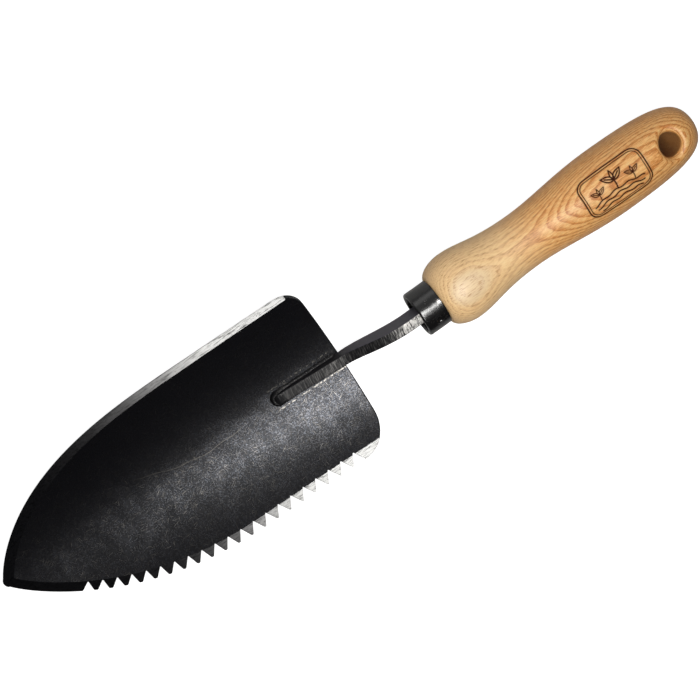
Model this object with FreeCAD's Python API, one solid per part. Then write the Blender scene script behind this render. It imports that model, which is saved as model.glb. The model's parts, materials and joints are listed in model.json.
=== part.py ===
"""Hand transplanter: a trough-shaped steel blade with one toothed edge, on a plate stem in an ash handle.

Row frame, in millimetres. The origin is on the handle's axis, at the middle of the hanging hole. +X runs
along the handle's axis towards the blade's point, +Z leaves the blade's hollow side, and +Y is on the
toothed side.

Every piece is its own solid and its own node:
    blade             rolled steel sheet, ground to a bevel along both edges, with teeth cut into one of them
    stem              bar cut from plate: foot on the blade, S-bend, shoulder and tang
    weld_bead_*       the fillet weld that holds the stem's foot, one run a side and one round its nose
    ferrule           steel ring on the handle's tenon, pinned by ferrule_brad
    handle            turned ash, with a blind bore for the tang and a hole to hang the tool by
    tang_adhesive     glue that fills the bore round the flat tang
"""
import FreeCAD, Part
import math
import os

Vector = FreeCAD.Vector

# --- handle -------------------------------------------------------------------------------------------
HANDLE_LENGTH = 128.6          # butt to shoulder
HOLE_TO_BUTT = 17.1
SHOULDER_RADIUS = 10.4
# Where the profile runs level: distance from the butt, radius, and the curve's pulls behind and ahead of it.
PALM_SWELL = (42.6, 15.0, 33.0, 18.0)
WAIST = (85.7, 12.0, 13.5, 18.4)
BULB = (118.0, 15.3, 9.6, 4.3)
BUTT_PULL = 12.4               # the profile leaves the butt's centre square to the axis
SHOULDER_PULL = (-0.8, 3.0)    # along the axis and outwards
HANG_HOLE_RADIUS = 5.1
HANG_HOLE_EDGE = 2.2           # rounding of the hole's two mouths
HANG_HOLE_TURN_DEG = 6.0       # the hole's upper end is turned this far towards the plain side
HANG_HOLE_LEAN_DEG = 7.0       # and leans this far towards the butt, square to the grip's rounded end
TENON_LENGTH = 6.5
BORE_RADIUS = 4.1              # blind bore for the tang
BORE_DEPTH = 75.0              # from the tenon's end

# --- ferrule and its brad -----------------------------------------------------------------------------
FERRULE_RADIUS = 10.0
FERRULE_WALL = 2.0
FERRULE_LENGTH = 10.5
FERRULE_LIP = 0.9              # rounding of the front rim, outside and inside
BRAD_FROM_SHOULDER = 4.6
BRAD_TURN_DEG = 20.0           # round the ferrule, from straight up towards the toothed side
BRAD_RADIUS = 0.8
BRAD_LENGTH = 5.5
BRAD_HEAD_RADIUS = 1.3
BRAD_HEAD_DEPTH = 0.7
BRAD_POINT_LENGTH = 1.2
BRAD_POINT_RADIUS = 0.1
BRAD_SINK = 0.3                # head below the ferrule's surface

# --- stem ---------------------------------------------------------------------------------------------
PLATE = 4.6                    # thickness of the plate that the stem is cut from
STEM_TOP = 5.6                 # height of the stem's edges over the handle's axis, where it meets the ferrule
STEM_BOTTOM = -4.8
STEM_CORNER = 0.35             # broken edges
FOOT_LENGTH = 33.0             # on the blade, from its back edge to the stem's nose
FOOT_HEIGHT = 6.2              # over the blade at its back edge
NOSE_HEIGHT = 2.9              # over the blade at the nose
FOOT_BITE = 0.8                # how far the foot's blank dips into the sheet before it is cut to the surface
HEEL_GAP = 1.5                 # the foot's blank starts this far behind the blade's back edge
NOSE_FLAT = 0.2                # left between the nose's two rounded corners
SHOULDER_GAP = 0.1             # between the stem's shoulder and the tenon's end
BEND_START = 4.0               # from the ferrule's mouth to the S-bend
TOP_PULLS = (14.0, 8.0)        # lengths of the S-bend's end tangents, along its top and bottom edges
BOTTOM_PULLS = (10.0, 9.0)
TANG_LENGTH = 73.0
TANG_HEIGHT = 6.4
TANG_TIP_HEIGHT = 4.0

# --- blade --------------------------------------------------------------------------------------------
NECK_LENGTH = 34.0             # ferrule's mouth to the blade's back edge
BLADE_LENGTH = 165.5
PLAIN_HALF_WIDTH = 39.7        # centre line to the parallel part of the plain edge
TOOTHED_HALF_WIDTH = 40.4
SHEET = 2.5
TROUGH_RADIUS = 74.0           # outer face, across the blade
BACK_DEPTH = 14.6              # outer face under the handle's axis, at the back edge
BLADE_DROP = 8.2               # the bottom line sinks this much more, and is level at the point
PARALLEL_LENGTH = 60.0         # the sides are parallel this far from the back edge
FLANK_POWER = 0.82
PLAIN_FULLNESS = 2.8           # how full the flank is between the parallel part and the point
TOOTHED_FULLNESS = 2.35
POINT_GAP = 1.1                # the flanks' curves stop this far from the point, which rounds it
BACK_BOW = 2.2
PLAIN_CORNER = 9.5             # radii of the two back corners, in plan
TOOTHED_CORNER = 14.5

# --- edges --------------------------------------------------------------------------------------------
EDGE_LAND = 0.5                # metal left at the ground edge
PLAIN_BEVEL = (2.4, 4.2)       # width in plan, at the back and at the point
TOOTHED_BEVEL = (4.8, 4.6)
NOTCH_COUNT = 21
NOTCH_PITCH = 6.25             # along the edge
NOTCH_START = 15.3             # from the back edge to the first tooth's corner
NOTCH_DEPTH = (5.2, 3.9)       # at the back and at the point
NOTCH_HALF_ANGLE_DEG = 28.5
NOTCH_ROOT = 0.4               # flat at the bottom of a notch

# --- weld ---------------------------------------------------------------------------------------------
BEAD_RADIUS = 1.5
BEAD_LIFT = 0.2                # of a bead's middle, from both the stem and the blade
BEAD_START = 1.0               # from the blade's back edge

# Worked-out places along X.
BUTT_X = -HOLE_TO_BUTT
SHOULDER_X = BUTT_X + HANDLE_LENGTH
TENON_X = SHOULDER_X + TENON_LENGTH
MOUTH_X = SHOULDER_X + FERRULE_LENGTH
BACK_X = MOUTH_X + NECK_LENGTH
POINT_X = BACK_X + BLADE_LENGTH
NOSE_X = BACK_X + FOOT_LENGTH
FERRULE_BORE = FERRULE_RADIUS - FERRULE_WALL

# How far the tools that cut a piece run past it.
REACH = 60.0
SHEET_OVERRUN = 6.0
BEVEL_OVERRUN = 1.5
MITRE_OVERRUN = 14.0           # of each bevel past the blade's point
NOTCH_OVERRUN = 2.0
NOTCH_CUTTER_HEIGHT = 6.0      # on either side of the sheet


def spline(points, start_tangent=None, end_tangent=None):
    """An edge through the points, with its end directions if they are given."""
    curve = Part.BSplineCurve()
    if start_tangent is None:
        curve.interpolate(points)
    else:
        curve.interpolate(Points=points, InitialTangent=start_tangent, FinalTangent=end_tangent)
    return curve.toShape()


def bezier(*poles):
    curve = Part.BezierCurve()
    curve.setPoles(list(poles))
    return curve.toShape()


def line(a, b):
    return Part.LineSegment(a, b).toShape()


def x_cylinder(radius, start, end):
    """A cylinder on the handle's axis."""
    return Part.makeCylinder(radius, end - start, Vector(start, 0, 0), Vector(1, 0, 0))


def at_share(ends, share):
    """Between two values."""
    return ends[0] + (ends[1] - ends[0]) * share


def side_plate(edges, thickness):
    """A closed outline in the XZ plane, made into a plate with its middle in that plane."""
    face = Part.Face(Part.Wire(Part.__sortEdges__(edges)))
    plate = face.extrude(Vector(0, thickness, 0))
    plate.translate(Vector(0, -thickness / 2, 0))
    return plate


# --- the blade's surface ------------------------------------------------------------------------------
def bottom_line(x):
    """Height of the outer face on the blade's centre line."""
    left = 1.0 - (x - BACK_X) / BLADE_LENGTH
    return -BACK_DEPTH - BLADE_DROP * (1.0 - left * left)


def outer_face(x, y):
    return bottom_line(x) + TROUGH_RADIUS - math.sqrt(TROUGH_RADIUS ** 2 - y * y)


def inner_face(x, y):
    return bottom_line(x) + TROUGH_RADIUS - math.sqrt((TROUGH_RADIUS - SHEET) ** 2 - y * y)


def trough(steps=8):
    """The bent sheet, larger than the blade: equal arcs carried along the bottom line."""
    half_angle = math.asin((TOOTHED_HALF_WIDTH + SHEET_OVERRUN) / TROUGH_RADIUS)
    sections = []
    for i in range(steps + 1):
        x = at_share((BACK_X - SHEET_OVERRUN, POINT_X + SHEET_OVERRUN), i / steps)
        centre_z = bottom_line(x) + TROUGH_RADIUS

        def on_arc(radius, angle):
            return Vector(x, radius * math.sin(angle), centre_z - radius * math.cos(angle))

        inner = TROUGH_RADIUS - SHEET
        outer_arc = Part.Arc(*[on_arc(TROUGH_RADIUS, a) for a in (-half_angle, 0, half_angle)]).toShape()
        inner_arc = Part.Arc(*[on_arc(inner, a) for a in (half_angle, 0, -half_angle)]).toShape()
        sections.append(Part.Wire([
            outer_arc,
            line(on_arc(TROUGH_RADIUS, half_angle), on_arc(inner, half_angle)),
            inner_arc,
            line(on_arc(inner, -half_angle), on_arc(TROUGH_RADIUS, -half_angle)),
        ]))
    return Part.makeLoft(sections, True, False)


# --- the blade's outline ------------------------------------------------------------------------------
def edge_y(x, side):
    """Place of the edge on one side, from the centre line: parallel behind, then a flank that closes."""
    widest = PLAIN_HALF_WIDTH if side < 0 else TOOTHED_HALF_WIDTH
    fullness = PLAIN_FULLNESS if side < 0 else TOOTHED_FULLNESS
    along = (x - BACK_X - PARALLEL_LENGTH) / (BLADE_LENGTH - PARALLEL_LENGTH)
    if along <= 0:
        return side * widest
    return side * widest * max(0.0, 1.0 - along ** fullness) ** FLANK_POWER


def flank_stations(count=14):
    """Places along X from the end of the parallel part to near the point, closer together towards it."""
    start = BACK_X + PARALLEL_LENGTH
    reach = BLADE_LENGTH - PARALLEL_LENGTH - POINT_GAP
    return [start + reach * math.sin(math.pi / 2 * i / count) for i in range(count + 1)]


def round_back_corner(prism, side, radius):
    """Rounds the upright edge of one back corner."""
    uprights = [e for e in prism.Edges if e.Length > REACH and e.Vertexes[0].X < BACK_X + BACK_BOW + 1]
    corner = max(uprights, key=lambda e: side * e.Vertexes[0].Y)
    return prism.makeFillet(radius, [corner])


def outline_prism():
    """The blade seen from above, as a tall prism with its two back corners rounded."""
    stations = flank_stations()
    plain = [Vector(x, edge_y(x, -1), 0) for x in stations]
    toothed = [Vector(x, edge_y(x, 1), 0) for x in stations]
    flanks = plain + [Vector(POINT_X, 0, 0)] + toothed[::-1]
    back_left = Vector(BACK_X + BACK_BOW, TOOTHED_HALF_WIDTH, 0)
    back_right = Vector(BACK_X + BACK_BOW, -PLAIN_HALF_WIDTH, 0)
    edges = [
        spline(flanks, Vector(1, 0, 0), Vector(-1, 0, 0)),
        line(toothed[0], back_left),
        Part.Arc(back_left, Vector(BACK_X, 0, 0), back_right).toShape(),
        line(back_right, plain[0]),
    ]
    prism = Part.Face(Part.Wire(edges)).extrude(Vector(0, 0, 2 * REACH))
    prism.translate(Vector(0, 0, -REACH))
    prism = round_back_corner(prism, -1, PLAIN_CORNER)
    return round_back_corner(prism, 1, TOOTHED_CORNER)


# --- the ground bevels --------------------------------------------------------------------------------
def edge_stations(start_x):
    """Places along X from start_x, through the parallel part, to near the point."""
    flank = flank_stations(12)
    return [at_share((start_x, flank[0]), i / 4) for i in range(4)] + flank


def edge_frames(side, step=0.01):
    """Points along one ground edge in plan, with their inward normals and shares of the way to the point."""
    frames = []
    for x in edge_stations(BACK_X - SHEET_OVERRUN)[:-1]:
        slope = (edge_y(x + step, side) - edge_y(x, side)) / step
        inward = Vector(side * slope, -side, 0).normalize()
        frames.append((Vector(x, edge_y(x, side), 0), inward, (x - BACK_X) / BLADE_LENGTH))
    # One more point, straight on past the centre line, so that the two bevels meet at the blade's point.
    place, inward, share = frames[-1]
    onward = Vector(-side * inward.y, side * inward.x, 0)
    frames.append((place + onward * MITRE_OVERRUN, inward, share))
    return frames


def bevel_cutter(side, widths):
    """What the grinder takes off one edge of the hollow face: all that lies above the ground surface."""
    outside = []
    inside = []
    for place, inward, share in edge_frames(side):
        width = at_share(widths, share)
        top = place + inward * width
        edge_z = outer_face(place.x, place.y) + EDGE_LAND
        slope = (inner_face(top.x, top.y) - edge_z) / width
        low = Vector(0, 0, edge_z - slope * BEVEL_OVERRUN)
        high = Vector(0, 0, edge_z + slope * (width + BEVEL_OVERRUN))
        outside.append(place - inward * BEVEL_OVERRUN + low)
        inside.append(top + inward * BEVEL_OVERRUN + high)
    ground = Part.makeRuledSurface(spline(outside), spline(inside))
    return ground.extrude(Vector(0, 0, REACH))


# --- the teeth ----------------------------------------------------------------------------------------
def toothed_edge():
    """The toothed side's edge in space, from the back towards the point."""
    places = [(x, edge_y(x, 1)) for x in edge_stations(BACK_X)]
    curve = Part.BSplineCurve()
    curve.interpolate([Vector(x, y, outer_face(x, y)) for x, y in places])
    return curve


def notch(curve, index):
    """One V-shaped cutter, square to the sheet and to the edge where it cuts."""
    distance = NOTCH_START + NOTCH_PITCH * (index + 0.5)
    parameter = curve.parameterAtDistance(distance, curve.FirstParameter)
    place = curve.value(parameter)
    along = Vector(*curve.tangent(parameter)[0])
    normal = Vector(0, -place.y, math.sqrt(TROUGH_RADIUS ** 2 - place.y ** 2)).normalize()
    inward = along.cross(normal).normalize()
    if inward.y > 0:
        inward = inward * -1
    depth = at_share(NOTCH_DEPTH, index / (NOTCH_COUNT - 1))
    opening = NOTCH_ROOT / 2 + (depth + NOTCH_OVERRUN) * math.tan(math.radians(NOTCH_HALF_ANGLE_DEG))
    root = place + inward * depth
    mouth = place - inward * NOTCH_OVERRUN
    corners = [mouth - along * opening, root - along * (NOTCH_ROOT / 2),
               root + along * (NOTCH_ROOT / 2), mouth + along * opening]
    below = normal * -NOTCH_CUTTER_HEIGHT
    face = Part.Face(Part.makePolygon([c + below for c in corners + corners[:1]]))
    return face.extrude(normal * (2 * NOTCH_CUTTER_HEIGHT))


def make_blade():
    blade = trough().common(outline_prism())
    for side, widths in ((-1, PLAIN_BEVEL), (1, TOOTHED_BEVEL)):
        blade = blade.cut(bevel_cutter(side, widths))
    edge = toothed_edge()
    blade = blade.cut([notch(edge, i) for i in range(NOTCH_COUNT)])
    return blade.Solids[0]


# --- the stem -----------------------------------------------------------------------------------------
def bend(start, end, end_slope, pulls):
    """One edge of the S-bend: level at the ferrule, and on the foot's slope at the blade."""
    toward = Vector(1, 0, end_slope).normalize()
    return bezier(start, start + Vector(pulls[0], 0, 0), end - toward * pulls[1], end)


def make_stem(blade):
    shoulder_x = TENON_X + SHOULDER_GAP
    bend_x = MOUTH_X + BEND_START
    foot_top = Vector(BACK_X, 0, inner_face(BACK_X, 0) + FOOT_HEIGHT)
    nose_top = Vector(NOSE_X, 0, inner_face(NOSE_X, 0) + NOSE_HEIGHT)
    nose_bottom = Vector(NOSE_X, 0, inner_face(NOSE_X, 0) - FOOT_BITE)
    heel = Vector(BACK_X - HEEL_GAP, 0, inner_face(BACK_X, 0) - FOOT_BITE)
    top_slope = (nose_top.z - foot_top.z) / FOOT_LENGTH
    bottom_slope = (nose_bottom.z - heel.z) / (nose_bottom.x - heel.x)
    tang_z = TANG_HEIGHT / 2
    tip_x = shoulder_x - TANG_LENGTH
    tip_z = TANG_TIP_HEIGHT / 2
    outline = [
        line(Vector(shoulder_x, 0, STEM_TOP), Vector(bend_x, 0, STEM_TOP)),
        bend(Vector(bend_x, 0, STEM_TOP), foot_top, top_slope, TOP_PULLS),
        line(foot_top, nose_top),
        line(nose_top, nose_bottom),
        line(nose_bottom, heel),
        bend(Vector(bend_x, 0, STEM_BOTTOM), heel, bottom_slope, BOTTOM_PULLS),
        line(Vector(bend_x, 0, STEM_BOTTOM), Vector(shoulder_x, 0, STEM_BOTTOM)),
        line(Vector(shoulder_x, 0, STEM_BOTTOM), Vector(shoulder_x, 0, -tang_z)),
        line(Vector(shoulder_x, 0, -tang_z), Vector(tip_x, 0, -tip_z)),
        line(Vector(tip_x, 0, -tip_z), Vector(tip_x, 0, tip_z)),
        line(Vector(tip_x, 0, tip_z), Vector(shoulder_x, 0, tang_z)),
        line(Vector(shoulder_x, 0, tang_z), Vector(shoulder_x, 0, STEM_TOP)),
    ]
    stem = side_plate(outline, PLATE)
    upright_nose = [e for e in stem.Edges if all(abs(v.X - NOSE_X) < 0.01 for v in e.Vertexes)
                    and abs(e.Vertexes[0].Z - e.Vertexes[1].Z) > 1]
    stem = stem.makeFillet((PLATE - NOSE_FLAT) / 2, upright_nose)
    stem = stem.cut(blade)
    behind_blade = [e for e in stem.Edges if e.BoundBox.XMin > shoulder_x - 0.01
                    and e.BoundBox.XMax < BACK_X + 0.01]
    long_edges = [e for e in behind_blade if e.BoundBox.XLength > BEND_START
                  and abs(abs(e.Vertexes[0].Y) - PLATE / 2) < 0.01]
    stem = stem.makeFillet(STEM_CORNER, long_edges)
    return stem.Solids[0]


def make_weld(blade, stem):
    """Three runs of bead round the stem's foot, cut flush to the stem and the blade."""
    def over_blade(x):
        return Vector(x, 0, inner_face(x, 0) + BEAD_LIFT)

    start = over_blade(BACK_X + BEAD_START)
    end = over_blade(NOSE_X - PLATE / 2)
    run = end - start
    beads = {}
    for name, side in (("weld_bead_left", 1), ("weld_bead_right", -1)):
        offset = Vector(0, side * (PLATE / 2 + BEAD_LIFT), 0)
        rod = Part.makeCylinder(BEAD_RADIUS, run.Length, start + offset, run)
        rounded = rod.fuse(Part.makeSphere(BEAD_RADIUS, start + offset))
        beads[name] = rounded.cut([blade, stem])
    # The run round the nose is half a ring, in front of the plane where the side runs stop.
    ring = Part.makeTorus(PLATE / 2 + BEAD_LIFT, BEAD_RADIUS, end, run.cross(Vector(0, 1, 0)))
    ahead = Part.makeCylinder(REACH, REACH, end, run)
    beads["weld_bead_nose"] = ring.common(ahead).cut([blade, stem])
    return {name: max(bead.Solids, key=lambda s: s.Volume) for name, bead in beads.items()}


# --- handle, ferrule, brad and glue -------------------------------------------------------------------
def make_brad():
    """The brad, and the hole with a sunk mouth that it needs, both turned to its place on the ferrule."""
    head_z = FERRULE_RADIUS - BRAD_SINK
    neck_z = head_z - BRAD_HEAD_DEPTH
    tip_z = head_z - BRAD_LENGTH
    shank_z = tip_z + BRAD_POINT_LENGTH
    head = Part.makeCone(BRAD_RADIUS, BRAD_HEAD_RADIUS, BRAD_HEAD_DEPTH, Vector(0, 0, neck_z))
    shank = Part.makeCylinder(BRAD_RADIUS, neck_z - shank_z, Vector(0, 0, shank_z))
    point = Part.makeCone(BRAD_POINT_RADIUS, BRAD_RADIUS, BRAD_POINT_LENGTH, Vector(0, 0, tip_z))
    brad = head.fuse([shank, point]).removeSplitter()
    # The dimple: the head's cone carried on, once more its own depth, to above the ferrule.
    flare = BRAD_HEAD_RADIUS - BRAD_RADIUS
    dimple = Part.makeCone(BRAD_HEAD_RADIUS, BRAD_HEAD_RADIUS + flare, BRAD_HEAD_DEPTH, Vector(0, 0, head_z))
    for shape in (brad, dimple):
        shape.rotate(Vector(0, 0, 0), Vector(1, 0, 0), -BRAD_TURN_DEG)
        shape.translate(Vector(SHOULDER_X + BRAD_FROM_SHOULDER, 0, 0))
    return brad, dimple


def make_ferrule(brad, dimple):
    ring = x_cylinder(FERRULE_RADIUS, SHOULDER_X, MOUTH_X).cut(x_cylinder(FERRULE_BORE, SHOULDER_X, MOUTH_X))
    rims = [e for e in ring.Edges if abs(e.BoundBox.XMin - MOUTH_X) < 0.01 and e.BoundBox.XLength < 0.01]
    ring = ring.makeFillet(FERRULE_LIP, rims)
    return ring.cut([brad, dimple]).Solids[0]


def make_handle(brad):
    centre = Vector(BUTT_X, 0, 0)
    shoulder = Vector(SHOULDER_X, 0, SHOULDER_RADIUS)
    profile = []
    start = centre
    pull = centre + Vector(0, 0, BUTT_PULL)
    for distance, radius, behind, ahead in (PALM_SWELL, WAIST, BULB):
        level = Vector(BUTT_X + distance, 0, radius)
        profile.append(bezier(start, pull, level - Vector(behind, 0, 0), level))
        start = level
        pull = level + Vector(ahead, 0, 0)
    profile.append(bezier(start, pull, shoulder + Vector(SHOULDER_PULL[0], 0, SHOULDER_PULL[1]), shoulder))
    tenon = [Vector(SHOULDER_X, 0, FERRULE_BORE), Vector(TENON_X, 0, FERRULE_BORE), Vector(TENON_X, 0, 0)]
    rim = Part.makePolygon([shoulder] + tenon + [centre]).Edges
    face = Part.Face(Part.Wire(profile + rim))
    handle = face.revolve(Vector(0, 0, 0), Vector(1, 0, 0), 360)
    hole = Part.makeCylinder(HANG_HOLE_RADIUS, 2 * REACH, Vector(0, 0, -REACH))
    hole.rotate(Vector(0, 0, 0), Vector(0, 1, 0), -HANG_HOLE_LEAN_DEG)
    hole.rotate(Vector(0, 0, 0), Vector(1, 0, 0), HANG_HOLE_TURN_DEG)
    handle = handle.cut(hole)
    mouths = [e for e in handle.Edges if e.BoundBox.XMin < 0 < e.BoundBox.XMax
              and e.BoundBox.XLength < 3 * HANG_HOLE_RADIUS and abs(e.BoundBox.Center.z) > HANG_HOLE_RADIUS]
    handle = handle.makeFillet(HANG_HOLE_EDGE, mouths)
    bore = x_cylinder(BORE_RADIUS, TENON_X - BORE_DEPTH, TENON_X)
    return handle.cut([bore, brad]).Solids[0]


def make_adhesive(stem):
    fill = x_cylinder(BORE_RADIUS, TENON_X - BORE_DEPTH, TENON_X)
    return fill.cut(stem).Solids[0]


def main():
    blade = make_blade()
    stem = make_stem(blade)
    brad, dimple = make_brad()
    nodes = {
        "blade": blade,
        "stem": stem,
        "ferrule": make_ferrule(brad, dimple),
        "ferrule_brad": brad,
        "handle": make_handle(brad),
        "tang_adhesive": make_adhesive(stem),
    }
    nodes.update(make_weld(blade, stem))
    os.makedirs("parts", exist_ok=True)
    for name, shape in nodes.items():
        if not (shape.isValid() and shape.isClosed() and shape.Volume > 0):
            raise ValueError(name + " is not a sound solid")
        shape.exportStep("parts/" + name + ".step")
        print("%-16s %2d faces %9.1f mm3" % (name, len(shape.Faces), shape.Volume))


main()
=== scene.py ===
"""The looks of a hand transplanter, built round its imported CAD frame.

Shapes are worked out in millimetres, in the frame's own axes, and become metres when a mesh is made.
+X runs to the blade's point, +Y to the toothed edge, +Z out of the blade's hollow. The origin is in the
hanging hole.
"""

import bmesh
import bpy
import json
import math
import numpy as np
from mathutils import Matrix, Quaternion, Vector
from mathutils.geometry import delaunay_2d_cdt


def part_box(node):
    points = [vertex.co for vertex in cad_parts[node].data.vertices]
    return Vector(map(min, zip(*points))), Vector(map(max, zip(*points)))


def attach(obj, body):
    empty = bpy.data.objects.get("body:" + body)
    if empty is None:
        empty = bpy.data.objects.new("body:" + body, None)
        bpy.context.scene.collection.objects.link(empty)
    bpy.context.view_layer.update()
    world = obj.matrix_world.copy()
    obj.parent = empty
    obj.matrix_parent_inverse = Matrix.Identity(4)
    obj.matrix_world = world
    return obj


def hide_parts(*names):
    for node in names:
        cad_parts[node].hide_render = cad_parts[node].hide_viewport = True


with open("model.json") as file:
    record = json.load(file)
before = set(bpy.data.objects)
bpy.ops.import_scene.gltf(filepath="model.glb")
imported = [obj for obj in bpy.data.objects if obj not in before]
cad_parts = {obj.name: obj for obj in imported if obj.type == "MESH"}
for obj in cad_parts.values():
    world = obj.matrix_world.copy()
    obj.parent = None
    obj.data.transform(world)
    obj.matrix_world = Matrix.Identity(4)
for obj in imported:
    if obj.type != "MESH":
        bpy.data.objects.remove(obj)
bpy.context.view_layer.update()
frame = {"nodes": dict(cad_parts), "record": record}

MM = 0.001
WELD = 0.002                   # points closer than this are one point


def unit(vectors):
    """The same directions with length one."""
    return vectors / np.linalg.norm(vectors, axis=-1, keepdims=True)


def coords(*parts):
    """Points from their x, their y and so on."""
    return np.stack(np.broadcast_arrays(*parts), -1)


def run_length(line):
    """The distance along a broken line at each of its points."""
    return np.append(0.0, np.cumsum(np.linalg.norm(np.diff(line, axis=0), axis=1)))


def follow(where, distance, line):
    """The places on a broken line at these distances along it."""
    return coords(*(np.interp(where, distance, column) for column in line.T))


def grid(first, second):
    """Every pair of the two lists' values, as flat points."""
    return coords(*np.meshgrid(first, second, indexing="ij")).reshape(-1, 2)


def node_box(node):
    """Lowest and highest corner of a CAD node, in millimetres."""
    low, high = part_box(node)
    return np.array(low) / MM, np.array(high) / MM


# --- places taken from the frame ---
blade_low, blade_high = node_box("blade")
stem_low, stem_high = node_box("stem")
ferrule_low, ferrule_high = node_box("ferrule")
handle_low, handle_high = node_box("handle")
glue_low, glue_high = node_box("tang_adhesive")
hang_hole = next(m for m in frame["record"]["mounts"] if m["name"] == "hang_hole")

BACK_X, POINT_X = blade_low[0], blade_high[0]
BLADE_LENGTH = POINT_X - BACK_X
PLAIN_HALF_WIDTH, TOOTHED_HALF_WIDTH = -blade_low[1], blade_high[1]
NOSE_X, TANG_TIP_X = stem_high[0], stem_low[0]
PLATE = stem_high[1] - stem_low[1]
STEM_TOP = stem_high[2]
SHOULDER_X, MOUTH_X = ferrule_low[0], ferrule_high[0]
FERRULE_RADIUS = ferrule_high[1]
BUTT_X, TENON_X = handle_low[0], handle_high[0]
MIDDLE_X = (BUTT_X + POINT_X) / 2
BORE_RADIUS = glue_high[1]
BORE_END_X = glue_low[0]
HOLE_RADIUS = hang_hole["dims"]["r_mm"]
HOLE_AXIS = unit(hang_hole["axis"])
LENGTHWISE = np.array([1.0, 0.0, 0.0])
GRIP_UP = unit(HOLE_AXIS * (0.0, 1.0, 1.0))    # square to the handle, on the hole's side
GRIP_SIDE = np.cross(GRIP_UP, LENGTHWISE)      # square to both, towards the teeth


# --- meshes ---
def grid_faces(rows, columns):
    """Quads over rows x columns points, joined round to the first column."""
    row, column = np.meshgrid(np.arange(rows - 1) * columns, np.arange(columns), indexing="ij")
    beside = (column + 1) % columns
    quads = coords(row + column, row + beside, row + columns + beside, row + columns + column)
    return quads.reshape(-1, 4)


def add_object(name, data):
    """A new object in the scene."""
    thing = bpy.data.objects.new(name, data)
    bpy.context.scene.collection.objects.link(thing)
    return thing


class Shell:
    """Patches of surface, welded into one mesh where they meet."""

    def __init__(self):
        self.points = np.zeros((0, 3))
        self.faces = []
        self.slots = []

    def add(self, points, faces, slot=0):
        self.faces += (np.asarray(faces) + len(self.points)).tolist()
        self.slots += np.broadcast_to(slot, len(faces)).tolist()
        self.points = np.vstack([self.points, np.reshape(points, (-1, 3))])

    def add_grid(self, points):
        """A grid of points, each row of which is a closed ring."""
        self.add(points, grid_faces(*np.shape(points)[:2]))

    def add_fan(self, ring, centre):
        """Triangles from a closed ring to one point."""
        count = len(ring)
        spokes = [(i, (i + 1) % count, count) for i in range(count)]
        self.add(np.vstack([ring, centre]), spokes)

    def add_tube(self, rings):
        """Closed rings in a row, with both ends covered."""
        self.add_grid(rings)
        for ring in (rings[0], rings[-1]):
            self.add_fan(ring, np.mean(ring, 0))

    def build(self, name, materials, sharp_deg):
        mesh = bpy.data.meshes.new(name)
        mesh.from_pydata((self.points * MM).tolist(), [], self.faces)
        mesh.polygons.foreach_set("material_index", self.slots)
        work = bmesh.new()
        work.from_mesh(mesh)
        bmesh.ops.remove_doubles(work, verts=work.verts, dist=WELD * MM)
        bmesh.ops.dissolve_degenerate(work, edges=work.edges, dist=WELD * MM / 10)
        bmesh.ops.recalc_face_normals(work, faces=work.faces)
        for face in work.faces:
            face.smooth = True
        work.to_mesh(mesh)
        work.free()
        mesh.set_sharp_from_angle(angle=math.radians(sharp_deg))
        for material in materials:
            mesh.materials.append(material)
        return add_object(name, mesh)


def points_mm(piece):
    flat = np.zeros(len(piece.data.vertices) * 3)
    piece.data.vertices.foreach_get("co", flat)
    return flat.reshape(-1, 3) / MM


def set_points(piece, points):
    piece.data.vertices.foreach_set("co", (points * MM).astype(np.float32).ravel())
    piece.data.update()


def store(piece, name, values):
    """Keeps one number a point on the mesh, for its material to read."""
    attribute = piece.data.attributes.new(name, "FLOAT", "POINT")
    attribute.data.foreach_set("value", np.asarray(values, np.float32))


def triangulate(points, loops, keep):
    """Delaunay triangles over flat points, with the loops' edges kept. Returns points and the triangles that
    keep(centres) says are wanted."""
    edges = []
    for loop, closed in loops:
        start, count = len(points), len(loop)
        edges += [(start + i, start + (i + 1) % count) for i in range(count if closed else count - 1)]
        points = np.vstack([points, loop])
    found = delaunay_2d_cdt([Vector(p) for p in points], edges, [], 0, 1e-5)
    places = np.array([tuple(p) for p in found[0]])
    triangles = np.array(found[2])
    return places, triangles[keep(places[triangles].mean(1))]


def inside(points, polygon):
    """Which flat points are inside a polygon."""
    x, y = points[:, :1], points[:, 1:]
    ax, ay = polygon[:, 0], polygon[:, 1]
    bx, by = np.roll(ax, -1), np.roll(ay, -1)
    spans = (ay > y) != (by > y)
    rise = np.where(by == ay, 1.0, by - ay)
    crossings = spans & (x < ax + (bx - ax) * (y - ay) / rise)
    return crossings.sum(1) % 2 == 1


def nearest(points, curve):
    """For each point, the index of the nearest curve point and the distance to it."""
    index = np.zeros(len(points), int)
    distance = np.zeros(len(points))
    for start in range(0, len(points), 4000):
        part = slice(start, start + 4000)
        gaps = np.linalg.norm(points[part, None] - curve[None], axis=2)
        index[part] = gaps.argmin(1)
        distance[part] = gaps.min(1)
    return index, distance


def curve(start, pull, end_pull, end, count=120):
    """Points on a cubic Bezier curve, given its ends and where its handles are from them."""
    t = np.linspace(0.0, 1.0, count)[:, None]
    first, last = np.add(start, pull), np.add(end, end_pull)
    return (1 - t) ** 3 * start + 3 * t * (1 - t) ** 2 * first + 3 * t * t * (1 - t) * last + t ** 3 * end


def smooth_step(low, high, values):
    share = np.clip((values - low) / (high - low), 0.0, 1.0)
    return share * share * (3 - 2 * share)


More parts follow.
